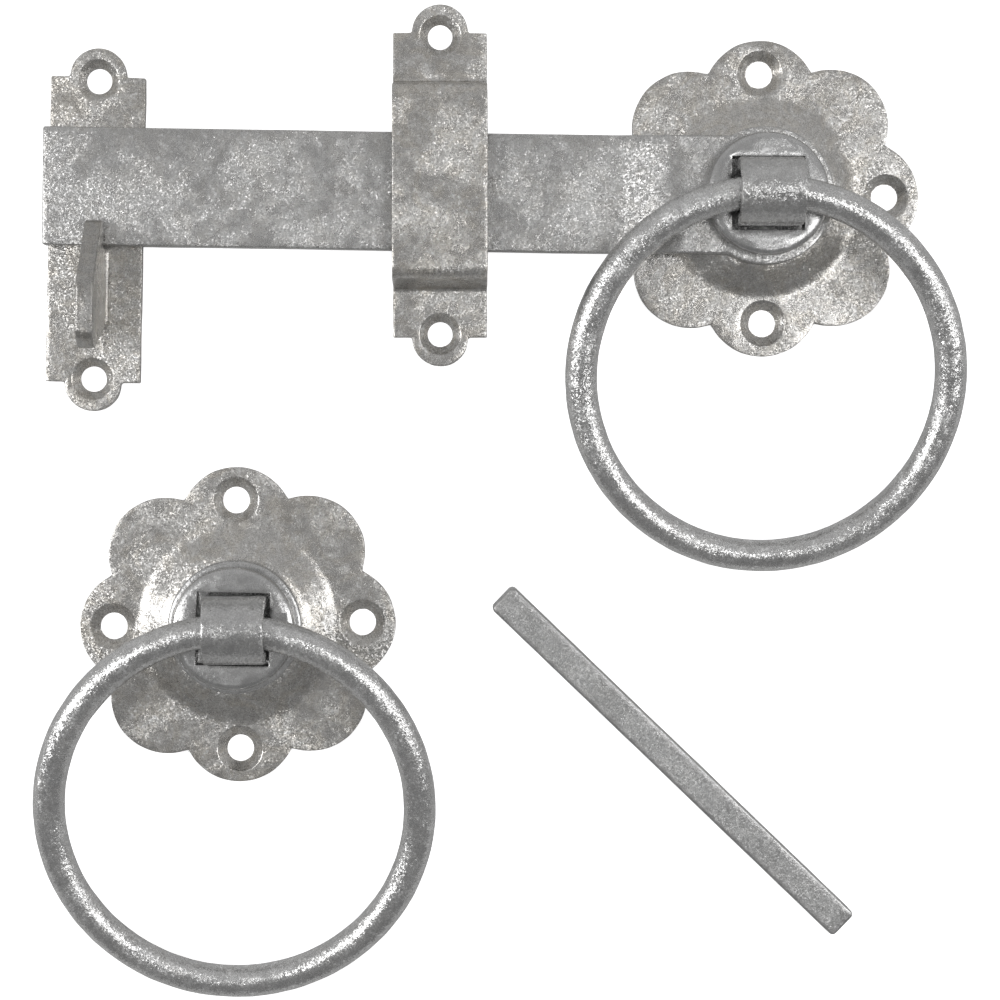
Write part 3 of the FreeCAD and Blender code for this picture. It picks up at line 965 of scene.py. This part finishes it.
@dataclass
class LatchBar(SubAssembly):
    """The flat bar, joggled up over the rose, with a round end under the boss."""

    width: float = 29.6 * MM
    thickness: float = 5.0 * MM
    reach: float = 180.4 * MM
    end_radius: float = 17.3 * MM
    joggle_near: float = 22.6 * MM
    joggle_far: float = 36.0 * MM
    bend: float = 2.6 * MM
    hole_half: float = 7.65 * MM
    slope: float = -0.8

    def build(self) -> None:
        """Make the bar and hand it over."""
        low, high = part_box("latch_bar")
        half = self.thickness / 2
        back, front = low.z + half, high.z - half
        run = self.joggle_far - self.joggle_near
        setback = half * math.tan(math.atan((front - back) / run) / 2)
        path = (
            (0.0, front),
            (self.joggle_near + setback, front),
            (self.joggle_far + setback, back),
            (self.reach, back),
        )
        bar = Bench.strip("flat_latch_bar", self.width, path)
        Bench.round_edges(
            bar, self.bend, 6,
            lambda middle, along: 10 * MM < middle.y < 60 * MM and abs(along.x) > 10 * MM,
        )
        Bench.thicken(bar, self.thickness)
        Bench.set_down(bar, (0, 0, 0), turn=90)
        end = Bench.cylinder("round_end", self.end_radius, high.z - self.thickness, high.z)
        Bench.combine(bar, Join.WELD, end)
        hole = self.hole_half
        Bench.combine(bar, Join.CUT, Bench.block("hole", (-hole, -hole, low.z), (hole, hole, high.z + MM)))
        Bench.soften(bar, 0.6 * MM)
        Bench.dip(bar, spacing=3 * MM, depth=0.16 * MM, size=14 * MM)
        Bench.set_down(bar, (0, 0, 0), turn=self.slope)
        self.hand_over(bar, "latch_bar", Body.LATCH_DRIVE, FLAT_BAR)


@dataclass
class Strap(SubAssembly):
    """What the staple and the striker plate share: a strap with a lug at each end."""

    width: float = 24.0 * MM
    lug_radius: float = 7.2 * MM
    hole_inset: float = 1.0 * MM
    countersink_radius: float = 5.2 * MM

    def add_lugs(self, strap: Piece, thickness: float, shoulder: float, hole_radius: float) -> None:
        """Weld a half-round lug to each end, soften the whole strap's edges and drill the lugs.

        Args:
            strap: The strap, lying along Y about the origin.
            thickness: Its thickness where it lies flat.
            shoulder: How far its square ends are from its middle.
            hole_radius: The screw hole's radius.
        """
        for end in (-1, 1):
            lug = Bench.cylinder("lug", self.lug_radius, 0, thickness, (0, end * shoulder), sides=96)
            Bench.combine(strap, Join.WELD, lug)
        Bench.soften(strap, 0.45 * MM)
        hole = ScrewHole(hole_radius, self.countersink_radius, thickness)
        for end in (-1, 1):
            hole.sink_into(strap, (0, end * (shoulder - self.hole_inset)))


@dataclass
class Staple(Strap):
    """The strap that bridges the bar."""

    thickness: float = 2.5 * MM
    roof_half: float = 24.2 * MM
    wall_slant: float = 2.2 * MM
    foot_length: float = 12.1 * MM
    bend: float = 1.7 * MM
    hole_radius: float = 3.0 * MM

    def build(self) -> None:
        """Fold the staple and hand it over."""
        _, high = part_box("staple")
        half = self.thickness / 2
        roof, foot = self.roof_half - half, self.roof_half + self.wall_slant - half
        shoulder = self.roof_half + self.wall_slant + self.foot_length
        rise = high.z - half
        path = (
            (-shoulder, half), (-foot, half), (-roof, rise), (roof, rise), (foot, half), (shoulder, half),
        )
        strap = Bench.strip("folded_staple", self.width, path)
        Bench.round_edges(
            strap, self.bend, 5,
            lambda middle, along: abs(along.x) > 10 * MM and abs(middle.y) < foot + MM,
        )
        Bench.thicken(strap, self.thickness)
        Bench.level(strap, 0)
        Bench.level(strap, self.thickness)
        self.add_lugs(strap, self.thickness, shoulder, self.hole_radius)
        Bench.dip(strap, spacing=2.4 * MM, depth=0.3 * MM, size=7 * MM)
        self.settle(strap, "staple")
        self.hand_over(strap, "staple", Body.FIXINGS, SHEET)


@dataclass
class Striker(Strap):
    """The plate on the post and the hook that stands on it."""

    thickness: float = 3.0 * MM
    shoulder: float = 38.5 * MM
    turn: float = -1.3
    hook_thickness: float = 4.5 * MM
    hook_offset: float = 0.9 * MM
    notch_floor: float = -4.66 * MM
    base_length: float = 19.4 * MM
    lip_back: float = 9.2 * MM
    lip_reach: float = 6.5 * MM
    lip_slope: float = 0.8 * MM
    lip_tip: float = 3.6 * MM
    nose_back: float = 9.0 * MM
    nose_length: float = 13.9 * MM
    heel_back: float = 3.3 * MM
    heel_drop: float = 5.0 * MM
    hook_rounding: float = 1.6 * MM
    bead_radius: float = 0.7 * MM
    hole_radius: float = 3.1 * MM

    def build_plate(self) -> None:
        """Make the plate with its lugs."""
        half = self.width / 2
        corner = (half, self.shoulder, self.thickness)
        plate = Bench.block("striker_base", (-half, -self.shoulder, 0), corner)
        self.add_lugs(plate, self.thickness, self.shoulder, self.hole_radius)
        Bench.dip(plate, spacing=2.4 * MM, depth=0.28 * MM, size=7 * MM)
        self.settle(plate, "striker_plate", self.turn)
        self.hand_over(plate, "striker_plate", Body.FIXINGS, SHEET)

    def build_hook(self) -> None:
        """Saw the hook, with its ramp, nose, heel and notch, from a blank about the plate's middle."""
        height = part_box("striker_hook")[1].z
        left = self.hook_offset - self.hook_thickness / 2
        right = left + self.hook_thickness
        tip = self.notch_floor + self.lip_reach
        nose = self.notch_floor - self.nose_back
        front = nose - self.nose_length
        heel = front - self.heel_back
        heel_height = height - self.heel_drop
        base = self.notch_floor - self.base_length
        tip_front = self.lip_back + self.lip_slope + self.lip_tip
        blank = Bench.block("ramped_hook", (left, heel, self.thickness), (right, tip, height))
        Bench.keep_below(blank, (0, tip, tip_front), (0, height - tip_front, tip - nose))
        Bench.keep_below(blank, (0, front, height), (0, -self.heel_drop, self.heel_back))
        Bench.keep_below(blank, (0, heel, heel_height), (0, -(heel_height - self.thickness), heel - base))
        reach = self.lip_reach + MM
        notch = Bench.block(
            "notch", (left - MM, self.notch_floor, self.thickness - MM),
            (right + MM, self.notch_floor + reach, self.lip_back),
        )
        Bench.pick_edges(
            notch,
            lambda middle, _: middle.z > self.lip_back - TINY and middle.y > self.notch_floor + reach - TINY,
        )
        bpy.ops.transform.translate(value=(0, 0, self.lip_slope * reach / self.lip_reach))
        Bench.mode("OBJECT")
        Bench.combine(blank, Join.CUT, notch)
        Bench.round_edges(
            blank, self.hook_rounding, 5,
            lambda middle, along: abs(along.x) > 3 * MM
            and (middle.z > height - self.heel_drop - TINY or middle.y > tip - TINY),
        )
        Bench.soften(blank, 0.5 * MM)
        Bench.clear()
        bpy.ops.mesh.primitive_cylinder_add(
            vertices=16, radius=self.bead_radius, depth=self.base_length - 2 * MM,
            rotation=(math.pi / 2, 0, 0),
            location=(
                right, self.notch_floor - self.base_length / 2, self.thickness + self.bead_radius / 2
            ),
        )
        bead = Bench.named("weld_bead")
        Bench.keep_below(bead, (0, 0, self.thickness), (0, 0, -1))
        Bench.combine(blank, Join.WELD, bead)
        Bench.dip(blank, spacing=1.8 * MM, depth=0.25 * MM, size=5 * MM)
        self.settle(blank, "striker_plate", self.turn)
        # The hook wears the darkened sheet finish, painted shade that sets it off from the plate.
        self.hand_over(blank, "striker_hook", Body.FIXINGS, HOOK_WITH_PAINTED_SHADE)

    def build(self) -> None:
        """Make both pieces of the striker."""
        self.build_plate()
        self.build_hook()


@dataclass
class SpindleBar(SubAssembly):
    """The loose square spindle."""

    size: float = 8.0 * MM
    length: float = 120.0 * MM
    turn: float = -43.9

    def build(self) -> None:
        """Make the spindle and hand it over."""
        half, reach = self.size / 2, self.length / 2
        bar = Bench.block("square_spindle", (-reach, -half, 0), (reach, half, self.size))
        Bench.round_edges(
            bar, 1.3 * MM, 5, lambda middle, along: abs(along.z) > MM and abs(middle.x) > reach - TINY
        )
        Bench.soften(bar, 0.7 * MM, 4)
        Bench.dip(bar, spacing=2.5 * MM, depth=0.14 * MM, size=9 * MM)
        self.settle(bar, "spindle", self.turn)
        self.hand_over(bar, "spindle", Body.FIXINGS, SPINDLE)


# ---------------------------------------------------------------- studio


@dataclass
class Panel:
    """One soft light panel."""

    name: str
    at: Point
    size: Pair
    power: float


@dataclass
class Studio:
    """The table, the light and the camera."""

    stand_off: float = 0.65
    aim: Pair = (0.00015, 0.0003)
    lean: Pair = (-0.0114, 0.0158)
    view_width: float = 0.25413
    sensor: float = 36.0
    table_grey: float = 0.62
    table_seen: float = 0.9
    table_glow: float = 0.78
    room_seen: float = 0.95
    room_span: Pair = (-0.8, 0.9)
    room_light: Pair = (0.28, 0.70)
    panels: tuple[Panel, ...] = (
        Panel("left_panel", (-0.80, -0.05, 0.61), (0.22, 0.9), 3.6),
        Panel("right_panel", (0.51, -0.05, 0.69), (0.22, 0.9), 2.6),
    )

    def add_floor(self) -> None:
        Bench.clear()
        bpy.ops.mesh.primitive_plane_add(size=6, location=(0, 0, -0.05 * MM))
        floor = Bench.named("table")
        material = bpy.data.materials.new("white_table")
        material.use_nodes = True
        tree = material.node_tree
        surface = tree.nodes["Principled BSDF"]
        surface.inputs["Roughness"].default_value = 0.9
        surface.inputs["Specular IOR Level"].default_value = 0.1
        surface.inputs["Emission Color"].default_value = (1, 1, 1, 1)
        paths = tree.nodes.new("ShaderNodeLightPath")
        for name, lit, seen in (
            ("Base Color", self.table_grey, self.table_seen), ("Emission Strength", 0.0, self.table_glow),
        ):
            amount = tree.nodes.new("ShaderNodeMapRange")
            amount.inputs["To Min"].default_value = lit
            amount.inputs["To Max"].default_value = seen
            tree.links.new(paths.outputs["Is Camera Ray"], amount.inputs["Value"])
            tree.links.new(amount.outputs["Result"], surface.inputs[name])
        floor.data.materials.append(material)
        floor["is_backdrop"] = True

    def add_lights(self, target: Vector) -> None:
        for panel in self.panels:
            light = bpy.data.lights.new(panel.name, "AREA")
            light.shape = "RECTANGLE"
            light.size, light.size_y = panel.size
            light.energy = panel.power
            lamp = bpy.data.objects.new(panel.name, light)
            lamp.location = panel.at
            lamp.rotation_euler = (target - Vector(panel.at)).to_track_quat("-Z", "Y").to_euler()
            bpy.context.scene.collection.objects.link(lamp)

    def add_world(self) -> None:
        world = bpy.data.worlds.new("room")
        bpy.context.scene.world = world
        world.use_nodes = True
        tree = world.node_tree
        tree.nodes.clear()
        source = tree.nodes.new("ShaderNodeTexCoord")
        split = tree.nodes.new("ShaderNodeSeparateXYZ")
        tree.links.new(source.outputs["Generated"], split.inputs[0])
        ramp = tree.nodes.new("ShaderNodeMapRange")
        ramp.interpolation_type = "SMOOTHSTEP"
        for name, (start, end) in (("From", self.room_span), ("To", self.room_light)):
            ramp.inputs[f"{name} Min"].default_value = start
            ramp.inputs[f"{name} Max"].default_value = end
        tree.links.new(split.outputs["Y"], ramp.inputs["Value"])
        paths = tree.nodes.new("ShaderNodeLightPath")
        seen = tree.nodes.new("ShaderNodeMix")
        seen.data_type = "FLOAT"
        seen.inputs["B"].default_value = self.room_seen
        tree.links.new(paths.outputs["Is Camera Ray"], seen.inputs["Factor"])
        tree.links.new(ramp.outputs["Result"], seen.inputs["A"])
        background = tree.nodes.new("ShaderNodeBackground")
        tree.links.new(seen.outputs["Result"], background.inputs["Strength"])
        output = tree.nodes.new("ShaderNodeOutputWorld")
        tree.links.new(background.outputs[0], output.inputs[0])

    def add_camera(self, target: Vector) -> None:
        data = bpy.data.cameras.new("camera")
        data.sensor_width = self.sensor
        camera = bpy.data.objects.new("camera", data)
        back = Vector((*self.lean, self.stand_off))
        camera.location = target + back
        right = Vector((0, 1, 0)).cross(back).normalized()
        up = back.normalized().cross(right)
        camera.rotation_euler = Matrix((right, up, back.normalized())).transposed().to_euler()
        data.lens = self.sensor * back.length / self.view_width
        bpy.context.scene.collection.objects.link(camera)
        bpy.context.scene.camera = camera

    def build(self, low: Vector, high: Vector) -> None:
        middle = (low + high) / 2
        target = Vector((middle.x + self.aim[0], middle.y + self.aim[1], 0))
        self.add_floor()
        self.add_lights(target)
        self.add_world()
        self.add_camera(target)
        bpy.context.scene.view_settings.view_transform = "Standard"


def main() -> None:
    logging.basicConfig(level=logging.INFO, format="%(name)s %(message)s")
    cad_low, cad_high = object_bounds()
    Studio().build(cad_low, cad_high)
    makers = (
        Rose(side="latch"), Rose(side="handle"), Drive(), HandleDrive(), LatchBar(), Staple(), Striker(),
        SpindleBar(),
    )
    for maker in makers:
        maker.build()
        LOG.info("%s done: %d pieces", type(maker).__name__, len(maker.pieces))
    Bench.clear()


if __name__ == "__main__":
    main()
